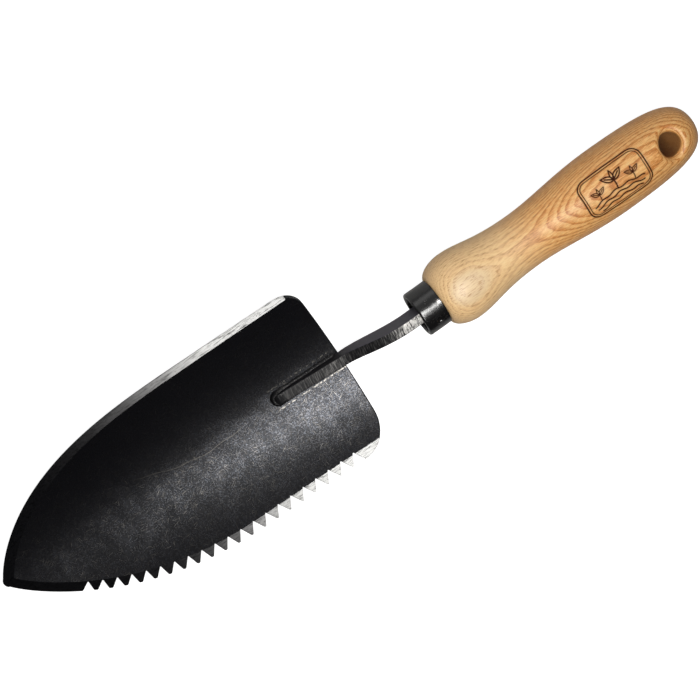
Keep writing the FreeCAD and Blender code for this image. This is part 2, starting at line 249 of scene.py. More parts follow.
# --- blade ---
SHEET = 2.5
TROUGH_RADIUS = 74.0
BACK_DEPTH = 14.6
BLADE_DROP = 8.2
PARALLEL_LENGTH = 60.0
FLANK_POWER = 0.82
FULLNESS = {-1: 2.8, 1: 2.35}
WIDEST = {-1: PLAIN_HALF_WIDTH, 1: TOOTHED_HALF_WIDTH}
CORNER = {-1: 9.5, 1: 14.5}
BEVEL = {-1: (2.4, 4.2), 1: (4.8, 4.6)}
POINT_GAP = 1.1
BACK_BOW = 2.2
EDGE_LAND = 0.5
BACK_ROUNDING = 0.45           # of the sheet's back edge and corners
GROUND_ROUNDING = 0.06
NOTCH_COUNT = 21
NOTCH_PITCH = 6.25
NOTCH_START = 15.3
NOTCH_DEPTH = (5.2, 3.9)
NOTCH_SLOPE = math.tan(math.radians(28.5))
NOTCH_ROOT = 0.4
TOOTH_ROUNDING = (0.22, 0.5)   # at the back and at the point
BLADE_SPACING = 1.25
SHEET_REACH = 44.0             # a little over half the flat sheet's width
BEVEL_REACH = 1.004            # just over 1, so that the sheet has its full thickness along a bevel's top


def bottom_line(x):
    left = 1.0 - (x - BACK_X) / BLADE_LENGTH
    return -BACK_DEPTH - BLADE_DROP * (1.0 - left * left)


def inner_face(x, y=0.0):
    return bottom_line(x) + TROUGH_RADIUS - np.sqrt((TROUGH_RADIUS - SHEET) ** 2 - y * y)


def edge_y(x, side):
    along = np.clip((x - BACK_X - PARALLEL_LENGTH) / (BLADE_LENGTH - PARALLEL_LENGTH), 0.0, 1.0)
    return side * WIDEST[side] * (1.0 - along ** FULLNESS[side]) ** FLANK_POWER


def unroll(x, y, radius=TROUGH_RADIUS):
    """Plan place to the flat sheet: x, and the distance round the trough."""
    return coords(x, TROUGH_RADIUS * np.arcsin(y / radius))


def roll(flat, height):
    """Flat sheet place, and height over the outer face, to space."""
    angle = flat[..., 1] / TROUGH_RADIUS
    radius = TROUGH_RADIUS - height
    centre_z = bottom_line(flat[..., 0]) + TROUGH_RADIUS
    return coords(flat[..., 0], radius * np.sin(angle), centre_z - radius * np.cos(angle))


def edge_stations(count=110):
    """Places along X, from behind the blade to near its point, closer together towards the point."""
    behind = np.arange(BACK_X - 8.0, BACK_X + PARALLEL_LENGTH, 1.5)
    reach = BLADE_LENGTH - PARALLEL_LENGTH - POINT_GAP
    ahead = BACK_X + PARALLEL_LENGTH + reach * np.sin(np.linspace(0, math.pi / 2, count))
    return np.concatenate([behind, ahead])


def edge_and_bevel(side):
    """The ground edge and the bevel's inner line, as matching points on the flat sheet."""
    x = edge_stations()
    y = edge_y(x, side)
    step = 0.01
    slope = (edge_y(x + step, side) - y) / step
    inward = unit(coords(side * slope, -side))
    share = (x - BACK_X) / BLADE_LENGTH
    width = BEVEL[side][0] + (BEVEL[side][1] - BEVEL[side][0]) * share
    plan = coords(x, y)
    # Straight on past the centre line, so that the two bevels meet.
    ahead = np.array([-side * inward[-1, 1], side * inward[-1, 0]])
    run = np.linspace(0.5, 12.0, 24)[:, None]
    plan = np.vstack([plan, plan[-1] + run * ahead])
    inward = np.vstack([inward, np.repeat(inward[-1:], len(run), 0)])
    width = np.concatenate([width, np.full(len(run), width[-1])])
    top = plan + inward * width[:, None]
    return unroll(plan[:, 0], plan[:, 1]), unroll(top[:, 0], top[:, 1], TROUGH_RADIUS - SHEET)


def rounded(points, cut):
    """An open line with each inner corner replaced by a short curve."""
    out = [points[0]]
    for before, corner, after in zip(points, points[1:], points[2:]):
        for share in (0.0, 0.5, 1.0):
            a, b = before - corner, after - corner
            a *= min(cut / np.linalg.norm(a), 0.45)
            b *= min(cut / np.linalg.norm(b), 0.45)
            out.append(corner + (1 - share) ** 2 * a + share ** 2 * b)
    return out + [points[-1]]


def toothed_line():
    """The toothed edge on the flat sheet, from the back corner's end to near the point."""
    x = np.linspace(BACK_X, POINT_X - POINT_GAP, 3000)
    flat = unroll(x, edge_y(x, 1))
    distance = run_length(roll(flat, 0.0))

    def at(where):
        return follow(where, distance, flat)

    line = []
    for index in range(NOTCH_COUNT):
        middle = NOTCH_START + NOTCH_PITCH * (index + 0.5)
        share = index / (NOTCH_COUNT - 1)
        depth = NOTCH_DEPTH[0] + (NOTCH_DEPTH[1] - NOTCH_DEPTH[0]) * share
        along = unit(at(middle + 0.5) - at(middle - 0.5))
        inward = np.array([along[1], -along[0]])
        root = along * NOTCH_ROOT / 2
        mouth = root + along * depth * NOTCH_SLOPE
        place = at(middle)
        bottom = place + inward * depth
        line += [place - mouth, bottom - root, bottom + root, place + mouth]
    last = NOTCH_START + NOTCH_PITCH * NOTCH_COUNT
    start = at(CORNER[1] + 0.2)
    teeth = rounded([start] + line + [at(last + 0.6)], sum(TOOTH_ROUNDING) / 2)
    return np.vstack([teeth, at(np.arange(last + 1.2, distance[-1], 0.8))])


def back_line():
    """The back edge in plan with its round corners, less its rounding, from the plain side over."""
    inset = BACK_ROUNDING

    def bow(y):
        return BACK_X + inset + BACK_BOW * (y / TOOTHED_HALF_WIDTH) ** 2

    corners = {}
    for side in (-1, 1):
        radius = CORNER[side] - inset
        centre_y = side * (WIDEST[side] - CORNER[side])
        slope = 2 * BACK_BOW * abs(centre_y) / TOOTHED_HALF_WIDTH ** 2
        centre_x = bow(centre_y) + radius * math.hypot(1.0, slope)
        turn = np.linspace(0.0, math.pi / 2 - math.atan(slope), 14)
        reach = radius + (inset - GROUND_ROUNDING) * (1 - turn / turn[-1])
        corners[side] = coords(centre_x - radius * np.sin(turn), centre_y + side * reach * np.cos(turn))
    y = np.linspace(corners[-1][-1, 1], corners[1][-1, 1], 60)[1:-1]
    middle = coords(bow(y), y)
    return np.vstack([corners[-1], middle, corners[1][::-1]])


def blade_outline():
    """The blade on the flat sheet: back edge, toothed edge, point and plain edge."""
    back = back_line()
    teeth = toothed_line()
    teeth = teeth[teeth[:, 0] > back[-1, 0] + 0.2]
    x = edge_stations()
    y = edge_y(x, -1)
    plain = unroll(x, y)[x > back[0, 0] + 0.2][::-1]
    start, end = teeth[-1, 1], plain[0, 1]
    across = np.linspace(start, end, 12)[1:-1]
    reach = np.where(across > 0, across / start, across / end)
    point = coords(POINT_X - POINT_GAP * reach ** 2, across)
    return np.vstack([unroll(back[:, 0], back[:, 1]), teeth, point, plain])


def sheet_height(flat, sides):
    """Height of the hollow face over the outer face: the sheet's thickness, less what the bevels take off."""
    height = np.full(len(flat), SHEET)
    for edge, top in sides:
        index, distance = nearest(flat, edge)
        width = np.linalg.norm(edge - top, axis=1)[index]
        share = np.clip(BEVEL_REACH * distance / width, 0.0, 1.0)
        height = np.minimum(height, EDGE_LAND + (SHEET - EDGE_LAND) * share)
    return height


def dense(line, count=6):
    """The same line with more points on each of its stretches."""
    finer = np.linspace(0, len(line) - 1, (len(line) - 1) * count + 1)
    return follow(finer, np.arange(len(line)), line)


def boundary(triangles):
    """The triangles' outer edges, each in the direction that its own triangle runs."""
    edges = np.vstack([triangles[:, [0, 1]], triangles[:, [1, 2]], triangles[:, [2, 0]]])
    known = set(map(tuple, edges.tolist()))
    return np.array([e for e in edges.tolist() if (e[1], e[0]) not in known])


def cut_sheet(sides, outline):
    """The flat sheet's points and triangles, with lines along the bevels' tops and their mitre."""
    tops = []
    for (_, top), side in zip(sides, (-1, 1)):
        tops.append(top[(top[:, 0] > BACK_X - 2.0) & (top[:, 1] * side > 0.0)])
    meeting = np.array([(tops[0][-1, 0] + tops[1][-1, 0]) / 2, 0.0])
    tops = [np.vstack([line, meeting]) for line in tops]
    mitre = coords(np.linspace(meeting[0], POINT_X - 0.3, 6), 0.0)
    points = grid(np.arange(BACK_X + 1.5, POINT_X, BLADE_SPACING),
                  np.arange(-SHEET_REACH, SHEET_REACH + 1.0, BLADE_SPACING))
    points = points[inside(points, outline) & (nearest(points, dense(outline, 3))[1] > 0.6)]
    points = points[nearest(points, np.vstack(tops))[1] > 0.5]
    loops = [(outline, True), (tops[0], False), (tops[1], False), (mitre, False)]
    return triangulate(points, loops, lambda centres: inside(centres, outline))


def add_sheet_edge(shell, flat, triangles, height):
    """The sheet's edge, rounded a little on both faces."""
    rim = boundary(triangles)
    run = flat[rim[:, 1]] - flat[rim[:, 0]]
    outward = np.zeros_like(flat)
    for end in (0, 1):
        np.add.at(outward, rim[:, end], unit(coords(run[:, 1], -run[:, 0])))
    on_rim = outward.any(1)
    outward[on_rim] = unit(outward[on_rim])
    thick = smooth_step(EDGE_LAND + 0.1, SHEET - 0.3, height)
    rounding = GROUND_ROUNDING + (BACK_ROUNDING - GROUND_ROUNDING) * thick
    rounding[flat[:, 0] > BACK_X + CORNER[1] + 1.0] = GROUND_ROUNDING
    reach = rounding * math.sqrt(0.5)
    rows = [(0.0, height), (reach, height - rounding + reach), (rounding, height - rounding),
            (rounding, rounding), (reach, rounding - reach), (0.0, 0.0 * height)]
    levels = [roll(flat + outward * np.reshape(out, (-1, 1)), level) for out, level in rows]
    on_ground = (height[rim].mean(1) < SHEET - 0.1) & (flat[rim].mean(1)[:, 0] < POINT_X)
    quads = np.arange(len(rim) * 4).reshape(-1, 4)
    for upper, lower in zip(levels, levels[1:]):
        shell.add(np.concatenate([upper[rim], lower[rim[:, ::-1]]], 1), quads, on_ground.astype(int))


def make_blade(blackened, ground):
    sides = [edge_and_bevel(side) for side in (-1, 1)]
    flat, triangles = cut_sheet(sides, blade_outline())
    fine_sides = [(dense(edge), dense(top)) for edge, top in sides]
    height = sheet_height(flat, fine_sides)
    on_bevel = sheet_height(flat[triangles].mean(1), fine_sides) < SHEET - 0.02
    shell = Shell()
    shell.add(roll(flat, height), triangles, on_bevel.astype(int))
    shell.add(roll(flat, 0.0 * height), triangles[:, ::-1])
    add_sheet_edge(shell, flat, triangles, height)
    return shell.build("blade_skin", [blackened, ground], 17.0)


# --- stem ---
STEM_BOTTOM = -4.8
FOOT_HEIGHT = 6.2
NOSE_HEIGHT = 2.9
BEND_START = 4.0
TOP_PULLS = (14.0, 8.0)
BOTTOM_PULLS = (10.0, 9.0)
STEM_CORNER = 0.4
NOSE_DROP = 2.8                # radius of the rounded end of the foot's top
TANG_HEIGHTS = (4.0, 6.4)      # at its tip and at the shoulder
CUT_MARK = 0.05                # depth of the torch's marks across the narrow faces
CUT_SPACING = 0.24


def stem_lines():
    """The stem's top and bottom lines, as (x, z) points from the ferrule to the nose."""
    bend_x = MOUTH_X + BEND_START
    foot_top = np.array([BACK_X, inner_face(BACK_X) + FOOT_HEIGHT])
    nose_top = np.array([NOSE_X, inner_face(NOSE_X) + NOSE_HEIGHT])
    heel = np.array([BACK_X - 1.5, inner_face(BACK_X) - 0.4])
    toward = unit(nose_top - foot_top)
    rise = unit([NOSE_X - BACK_X, inner_face(NOSE_X) - inner_face(BACK_X)])
    top = curve((bend_x, STEM_TOP), (TOP_PULLS[0], 0), -toward * TOP_PULLS[1], foot_top)
    bottom = curve((bend_x, STEM_BOTTOM), (BOTTOM_PULLS[0], 0), -rise * BOTTOM_PULLS[1], heel)
    top = np.vstack([(TENON_X, STEM_TOP), top, nose_top])
    foot_x = np.linspace(heel[0], NOSE_X, 30)[1:]
    foot = coords(foot_x, inner_face(foot_x) - 0.3)
    bottom = np.vstack([(TENON_X, STEM_BOTTOM), bottom, foot])
    return top, bottom


def corner_arcs(half_width, low, high, radius, count):
    """The four round corners of an upright rectangle, anticlockwise."""
    turn = np.linspace(0.0, math.pi / 2, count)
    arcs = []
    for quarter, (side, level) in enumerate(((1, high - radius), (-1, high - radius),
                                             (-1, low + radius), (1, low + radius))):
        angle = turn + quarter * math.pi / 2
        middle = side * (half_width - radius)
        arcs.append(coords(middle + radius * np.cos(angle), level + radius * np.sin(angle)))
    return arcs


def bar_section(x, bottom, top, half_width, corner):
    """One rounded rectangle across the bar, anticlockwise seen from the point."""
    corner = min(corner, half_width * 0.9, (top - bottom) * 0.45)
    arcs = corner_arcs(half_width, bottom, top, corner, 4)
    # Points between the corners, so that the flat faces can carry the marks.
    share = np.linspace(0.0, 1.0, 8)[1:-1, None]
    ring = np.vstack([part for arc, following in zip(arcs, arcs[1:] + arcs[:1])
                      for part in (arc, arc[-1] + (following[0] - arc[-1]) * share)])
    return coords(x, *ring.T)


def make_stem(material):
    top, bottom = stem_lines()
    random = np.random.default_rng(11)
    stations = np.append(np.arange(TENON_X + 0.1, NOSE_X - 0.02, CUT_SPACING), NOSE_X - 0.02)
    marks = random.normal(0.0, 1.0, (2, len(stations)))
    marks = np.array([np.convolve(m, (0.25, 0.5, 0.25), "same") for m in marks]) * CUT_MARK
    high = np.interp(stations, *top.T) + marks[0]
    low = np.interp(stations, *bottom.T) + marks[1] * (stations < BACK_X)
    # The foot's top ends in a quarter round, and its nose is round in plan.
    over = np.maximum(stations - (NOSE_X - NOSE_DROP), 0.0)
    high = np.maximum(high - NOSE_DROP + np.sqrt(NOSE_DROP ** 2 - over ** 2), low + 0.2)
    half = PLATE / 2
    width = np.sqrt(half ** 2 - np.maximum(stations - (NOSE_X - half), 0.0) ** 2)
    sections = [bar_section(x, -height / 2, height / 2, half, 0.2)
                for x, height in zip((TANG_TIP_X, TENON_X + 0.1), TANG_HEIGHTS)]
    sections += [bar_section(*numbers, STEM_CORNER) for numbers in zip(stations, low, high, width)]
    shell = Shell()
    shell.add_tube(sections)
    return shell.build("stem_bar", [material], 40.0)


# --- weld ---
BEAD_RADIUS = 1.15
NOSE_RISE = 1.1                # how much taller than wide the bead is round the nose
RIPPLE_PITCH = 1.05
RIPPLE = 0.11


def weld_path():
    """The seam round the foot: up one side, round the nose and back, as points with an outward direction."""
    half = PLATE / 2
    run = np.arange(BACK_X + 1.2, NOSE_X - half, 0.16)
    turn = np.linspace(0.0, math.pi, 46)[1:-1]
    middle_x = np.concatenate([run, np.full(len(turn), NOSE_X - half), run[::-1]])
    angle = np.concatenate([np.zeros(len(run)), turn, np.full(len(run), math.pi)])
    outward = coords(np.sin(angle), np.cos(angle), 0.0)
    x, y = middle_x + half * outward[:, 0], half * outward[:, 1]
    return coords(x, y, inner_face(x, y)), outward


def make_weld(material):
    places, outward = weld_path()
    random = np.random.default_rng(5)
    distance = run_length(places)
    end_gap = np.minimum(distance, distance[-1] - distance)
    at_nose = smooth_step(NOSE_X - PLATE, NOSE_X - PLATE / 4, places[:, 0])
    knots = np.arange(0.0, distance[-1] + 3.0, 3.0)
    uneven = np.interp(distance, knots, random.normal(0.0, 0.09, len(knots)))
    around = np.linspace(0.0, math.tau, 28, endpoint=False)
    rings = []
    for place, out, where, gap, wobble, rise in zip(places, outward, distance, end_gap, uneven, at_nose):
        # Each ripple is a crescent: its middle lags behind its two sides.
        phase = (where + 0.5 * np.cos(around - math.pi / 4)) / RIPPLE_PITCH
        ripple = RIPPLE * (1 - (phase % 1.0)) ** 2
        radius = (BEAD_RADIUS + wobble + ripple) * math.sqrt(min(1.0, 0.06 + gap / 2.0))
        height = np.maximum(np.sin(around), 0.0) * (1 + NOSE_RISE * rise) + np.minimum(np.sin(around), 0.0)
        rings.append(place + np.outer(radius * np.cos(around), out) + np.outer(radius * height, (0, 0, 1)))
    shell = Shell()
    shell.add_tube(rings)
    return shell.build("weld_seam", [material], 60.0)


# --- ferrule ---
FERRULE_WALL = 2.0
FERRULE_LIP = 0.9
FERRULE_HEEL = 0.35            # rounding of the edge against the wood
FERRULE_SPACING = 0.3
DIMPLE_DEPTH = 0.62
DIMPLE_RADIUS = 1.5
BRAD_FROM_SHOULDER = 4.6
BRAD_TURN = math.radians(20.0)


def ferrule_section():
    """The ring's section as a closed line of (x, radius) points."""
    outer, inner = FERRULE_RADIUS, FERRULE_RADIUS - FERRULE_WALL
    turn = np.linspace(0.0, math.pi / 2, 7)
    lip_x = MOUTH_X - FERRULE_LIP
    heel_x = SHOULDER_X + FERRULE_HEEL
    straight = np.arange(heel_x, lip_x, FERRULE_SPACING)
    parts = [
        coords(heel_x - FERRULE_HEEL * np.cos(turn), outer - FERRULE_HEEL * (1 - np.sin(turn))),
        coords(straight[1:], outer),
        coords(lip_x + FERRULE_LIP * np.sin(turn), outer - FERRULE_LIP * (1 - np.cos(turn))),
        coords(lip_x + FERRULE_LIP * np.cos(turn), inner + FERRULE_LIP * (1 - np.sin(turn))),
        np.array([[lip_x - 1.5, inner], [SHOULDER_X, inner]]),
    ]
    return np.vstack(parts)


def make_ferrule(material):
    section = ferrule_section()
    x, radius = np.vstack([section, section[:1]]).T[:, :, None]
    angle = np.linspace(0.0, math.tau, int(math.tau * FERRULE_RADIUS / FERRULE_SPACING), endpoint=False)
    # A ring bent from bar is never quite round, and its faces are never quite true.
    radius = radius + 0.035 * np.sin(2 * angle + 0.6) + 0.02 * np.sin(5 * angle + x * 0.5)
    shell = Shell()
    shell.add_grid(coords(x, radius * np.sin(angle), radius * np.cos(angle)))
    piece = shell.build("ferrule_ring", [material], 50.0)
    points = points_mm(piece)
    centre = (SHOULDER_X + BRAD_FROM_SHOULDER, FERRULE_RADIUS * math.sin(BRAD_TURN),
              FERRULE_RADIUS * math.cos(BRAD_TURN))
    gap = np.linalg.norm(points - centre, axis=1)
    radial = points * (0.0, 1.0, 1.0)
    depth = DIMPLE_DEPTH * (1 - smooth_step(0.75, DIMPLE_RADIUS, gap))
    rim = 0.1 * np.exp(-((gap - DIMPLE_RADIUS - 0.25) / 0.35) ** 2)
    outside = np.linalg.norm(radial, axis=1) > FERRULE_RADIUS - 0.3
    shift = np.where(outside, rim - depth, 0.0)
    set_points(piece, points + unit(radial) * shift[:, None])
    return piece


# --- handle ---
SHOULDER_RADIUS = 10.4
TENON_RADIUS = FERRULE_RADIUS - FERRULE_WALL
PALM_SWELL = (42.6, 15.0)
WAIST = (85.7, 12.0)
BULB = (118.0, 15.3)
HOLE_ROUNDING = 2.2
UNROLL_RADIUS = 15.0           # the handle's outside is laid flat at this radius
HANDLE_SPACING = 0.85
POLE_GAP = 0.5                 # the flat sheet stops this far from the butt's centre
MARK_SPACING = 0.17
MARK_X = BUTT_X + 43.8         # middle of the burned mark
MARK_TURN = math.radians(-3.0)
MARK_SIZE = (15.8, 9.6)        # half the length and half the height that it needs
MARK_DEPTH = 0.13


def handle_profile():
    """The turned outside from the butt's centre to the shoulder: distance along it, x and radius."""
    swell, waist, bulb = ((BUTT_X + x, radius) for x, radius in (PALM_SWELL, WAIST, BULB))
    curves = (curve((BUTT_X, 0.0), (0, 12.4), (-33.0, 0), swell)[:-1],
              curve(swell, (18.0, 0), (-13.5, 0), waist)[:-1],
              curve(waist, (18.4, 0), (-9.6, 0), bulb)[:-1],
              curve(bulb, (4.3, 0), (-0.8, 3.0), (SHOULDER_X, SHOULDER_RADIUS)))
    line = np.vstack(curves)
    distance = run_length(line)
    even = np.linspace(0.0, distance[-1], 2400)
    return coords(even, *follow(even, distance, line).T)


PROFILE = handle_profile()


def wrap(flat):
    """Flat place on the handle (distance along the profile, distance round) to space."""
    x, radius = follow(flat[:, 0], PROFILE[:, 0], PROFILE[:, 1:]).T
    return ring_point(x, radius, flat[:, 1] / UNROLL_RADIUS)


def ring_point(x, radius, angle):
    """A place round the handle, with the angle counted from the hanging hole's upper end."""
    around = np.multiply.outer(np.cos(angle), GRIP_UP) + np.multiply.outer(np.sin(angle), GRIP_SIDE)
    return np.multiply.outer(np.asarray(x, float), LENGTHWISE) + np.asarray(radius)[..., None] * around


def mouth_points(sign, count=96):
    """One rounded mouth of the hanging hole: its rows of points, from the outside in to the straight wall,
    and the outermost row's flat places."""
    turn = np.linspace(0.0, math.tau, count, endpoint=False)
    across = np.cross(HOLE_AXIS, GRIP_SIDE)
    ring = np.outer(np.cos(turn), across) + np.outer(np.sin(turn), GRIP_SIDE)
    low, high = np.zeros(count), np.full(count, 20.0)
    for _ in range(40):
        level = (low + high) / 2
        centre = ring * (HOLE_RADIUS + HOLE_ROUNDING) + np.outer(sign * level, HOLE_AXIS)
        radius = np.linalg.norm(centre[:, 1:], axis=1)
        index, gap = nearest(coords(centre[:, 0], radius), PROFILE[:, 1:])
        deep = (gap > HOLE_ROUNDING) & (radius < PROFILE[index, 2])
        low, high = np.where(deep, level, low), np.where(deep, high, level)
    wall = ring * HOLE_RADIUS + np.outer(sign * level, HOLE_AXIS)
    angle = np.arctan2(centre @ GRIP_SIDE, centre @ GRIP_UP)
    if sign < 0:
        angle = np.mod(angle, math.tau)
    flat = coords(PROFILE[index, 0], angle * UNROLL_RADIUS)
    rows = [wrap(flat)]
    to_outside, to_wall = unit(rows[0] - centre), unit(wall - centre)
    between = np.arccos(np.clip((to_outside * to_wall).sum(1), -1, 1))[:, None]
    for share in np.linspace(0.0, 1.0, 9)[1:]:
        direction = np.sin((1 - share) * between) * to_outside + np.sin(share * between) * to_wall
        rows.append(centre + direction / np.sin(between) * HOLE_ROUNDING)
    return rows, flat


def make_handle(material):
    rows_up, flat_up = mouth_points(1)
    rows_down, flat_down = mouth_points(-1)
    columns = int(math.tau * UNROLL_RADIUS / HANDLE_SPACING)
    first = -math.pi / 2 * UNROLL_RADIUS
    across = np.linspace(first, first + math.tau * UNROLL_RADIUS, columns + 1)
    end = PROFILE[-1, 0]
    along = np.linspace(POLE_GAP, end, int((end - POLE_GAP) / HANDLE_SPACING))
    coarse = grid(along, across)
    # Finer points where the mark is.
    middle = (np.interp(MARK_X, PROFILE[:, 1], PROFILE[:, 0]), MARK_TURN * UNROLL_RADIUS)
    fine = middle + grid(*(np.arange(-half, half + MARK_SPACING, MARK_SPACING) for half in MARK_SIZE))
    coarse = coarse[~(np.abs(coarse - middle) < np.array(MARK_SIZE) + 0.5).all(1)]
    loops = [(flat_up, True), (flat_down, True)]
    for loop, _ in loops:
        coarse = coarse[~inside(coarse, loop) & (nearest(coarse, loop)[1] > 0.35)]

    def outside_holes(centres):
        return ~(inside(centres, flat_up) | inside(centres, flat_down))

    flat, triangles = triangulate(np.vstack([coarse, fine]), loops, outside_holes)
    shell = Shell()
    shell.add(wrap(flat), triangles)
    # Both mouths turn the same way round the hole, so their last rows join straight across.
    shares = np.linspace(0.0, 1.0, 24)[:, None, None]
    for rows in (rows_up, rows_down, rows_up[-1] + (rows_down[-1] - rows_up[-1]) * shares):
        shell.add_grid(rows)
    shell.add_fan(wrap(coords(POLE_GAP, across[:-1])), [BUTT_X, 0.0, 0.0])
    hidden = [(SHOULDER_X, SHOULDER_RADIUS), (SHOULDER_X, TENON_RADIUS), (TENON_X, TENON_RADIUS),
              (TENON_X, BORE_RADIUS), (BORE_END_X, BORE_RADIUS)]
    rings = [ring_point(x, radius, across[:-1] / UNROLL_RADIUS) for x, radius in hidden]
    shell.add_grid(rings)
    shell.add_fan(rings[-1], [BORE_END_X, 0.0, 0.0])
    piece = shell.build("handle_wood", [material], 50.0)
    burn_mark(piece)
    return piece


# --- the burned mark: three seedlings over furrows, in a frame ---
LINE = 0.26                    # half the width of a burned line
FINE_LINE = 0.17


def round_box(half_length, half_height, radius):
    """A closed rectangle with round corners."""
    arcs = corner_arcs(half_length, -half_height, half_height, radius, 8)
    return np.vstack(arcs + [arcs[0][:1]])


def leaf(base, tip, bulge):
    """A leaf's outline from its base to its tip and back, and its midrib."""
    base, tip = np.array(base), np.array(tip)
    share = np.linspace(0.0, 1.0, 14)[:, None]
    run = tip - base
    side = unit([-run[1], run[0]])
    spine = base + run * share
    swell = side * bulge * np.sin(math.pi * share ** 0.8)
    return [spine + swell, spine - swell, spine[:10]]


def seedling(x, ground, size):
    """A stem with a pair of leaves and a small one between them."""
    fork = np.array([x, ground + 4.2 * size])
    lines = [np.array([[x - 0.3 * size, ground], [x + 0.1 * size, ground + 2.0 * size], fork])]
    for side in (-1, 1):
        lines += leaf(fork, fork + (side * 5.0 * size, 3.2 * size), 1.25 * size)
    lines += leaf(fork, fork + (0.2 * size, 4.6 * size), 0.7 * size)[:2]
    return lines


def mark_lines():
    """Every line of the mark with half its width. The mark's own axes: right is towards the butt."""
    lines = [(round_box(15.2, 9.0, 4.4), LINE), (round_box(14.2, 8.0, 3.4), FINE_LINE)]
    for level, reach in ((-3.0, 12.2), (-4.6, 11.4), (-6.2, 9.8)):
        x = np.linspace(-reach, reach, 60)
        wave = 0.30 * np.sin(x * 0.95 + level) + 0.012 * (reach ** 2 - x ** 2) - 0.9
        lines.append((coords(x, level + wave), LINE))
    for x, size in ((0.0, 0.94), (-8.3, 0.62), (8.3, 0.62)):
        ground = -2.1 - 0.009 * x * x
        lines += [(line, LINE if x == 0.0 else FINE_LINE) for line in seedling(x, ground, size)]
    return lines


def line_distance(points, line):
    """Distance from flat points to a broken line."""
    best = np.full(len(points), np.inf)
    for a, b in zip(line, line[1:]):
        run = b - a
        share = np.clip((points - a) @ run / (run @ run), 0.0, 1.0)
        best = np.minimum(best, np.linalg.norm(points - a - share[:, None] * run, axis=1))
    return best


def burn_mark(piece):
    """Presses the mark into the wood, and stores how burned each point is."""
    points = points_mm(piece)
    radius = np.linalg.norm(points[:, 1:], axis=1)
    angle = np.arctan2(points @ GRIP_SIDE, points @ GRIP_UP) - MARK_TURN
    flat = coords(MARK_X - points[:, 0], -angle * UNROLL_RADIUS)
    near = (np.abs(flat) < MARK_SIZE).all(1) & (radius > BORE_RADIUS + 1)
    burn = np.zeros(len(points))
    scorch = np.zeros(len(points))
    for line, half_width in mark_lines():
        gap = line_distance(flat[near], line)
        burn[near] = np.maximum(burn[near], 1 - smooth_step(half_width - 0.06, half_width + 0.12, gap))
        scorch[near] = np.maximum(scorch[near], 1 - smooth_step(half_width, half_width + 0.7, gap))
    inward = points * (0.0, 1.0, 1.0) / np.maximum(radius, 1.0)[:, None]
    set_points(piece, points - inward * (MARK_DEPTH * burn)[:, None])
    store(piece, "burn", burn)
    store(piece, "scorch", scorch)


# --- materials ---
class Value:
    """One output of a node. Arithmetic on it adds further nodes."""

    def __init__(self, nodes, socket):
        self.nodes = nodes
        self.socket = socket

    def math(self, operation, other=0, **settings):
        return self.nodes.put("Math", {0: self, 1: other}, operation=operation, **settings)

    def __rsub__(self, other):
        return self.nodes.put("Math", {0: other, 1: self}, operation="SUBTRACT")

    def most(self, other):
        """The larger of the two."""
        return self.math("MAXIMUM", other)

    def band(self, low, high):
        """0 below low, 1 above high, smooth between. Low may be the larger, which turns it round."""
        inputs = {"Value": self, "From Min": low, "From Max": high, "To Min": 0, "To Max": 1.0}
        return self.nodes.put("MapRange", inputs, interpolation_type="SMOOTHSTEP")

    def range(self, low, high):
        """0..1 to low..high."""
        return self.nodes.put("MapRange", {"Value": self, "To Min": low, "To Max": high})


for sign, operation in (("add", "ADD"), ("sub", "SUBTRACT"), ("mul", "MULTIPLY"), ("truediv", "DIVIDE"),
                        ("abs", "ABSOLUTE")):
    setattr(Value, f"__{sign}__", lambda a, b=0.0, kind=operation: a.math(kind, b))


class Nodes:
    """The node tree of a material or of the world."""

    def __init__(self, owner):
        owner.use_nodes = True
        self.tree = owner.node_tree
        self.tree.nodes.clear()

    def node(self, kind, inputs=None, **settings):
        node = self.tree.nodes.new("ShaderNode" + kind)
        for key, value in settings.items():
            setattr(node, key, value)
        for key, value in (inputs or {}).items():
            if isinstance(value, Value):
                self.tree.links.new(value.socket, node.inputs[key])
            else:
                node.inputs[key].default_value = value
        return node

    def put(self, kind, inputs=None, output=0, **settings):
        return Value(self, self.node(kind, inputs, **settings).outputs[output])

    def split(self, vector):
        return [Value(self, part) for part in self.node("SeparateXYZ", {0: vector}).outputs]

    def join(self, x, y, z):
        return self.put("CombineXYZ", {0: x, 1: y, 2: z})

    def vector(self, operation, a, b=(0, 0, 0), output=0):
        return self.put("VectorMath", {0: a, 1: b}, output, operation=operation)


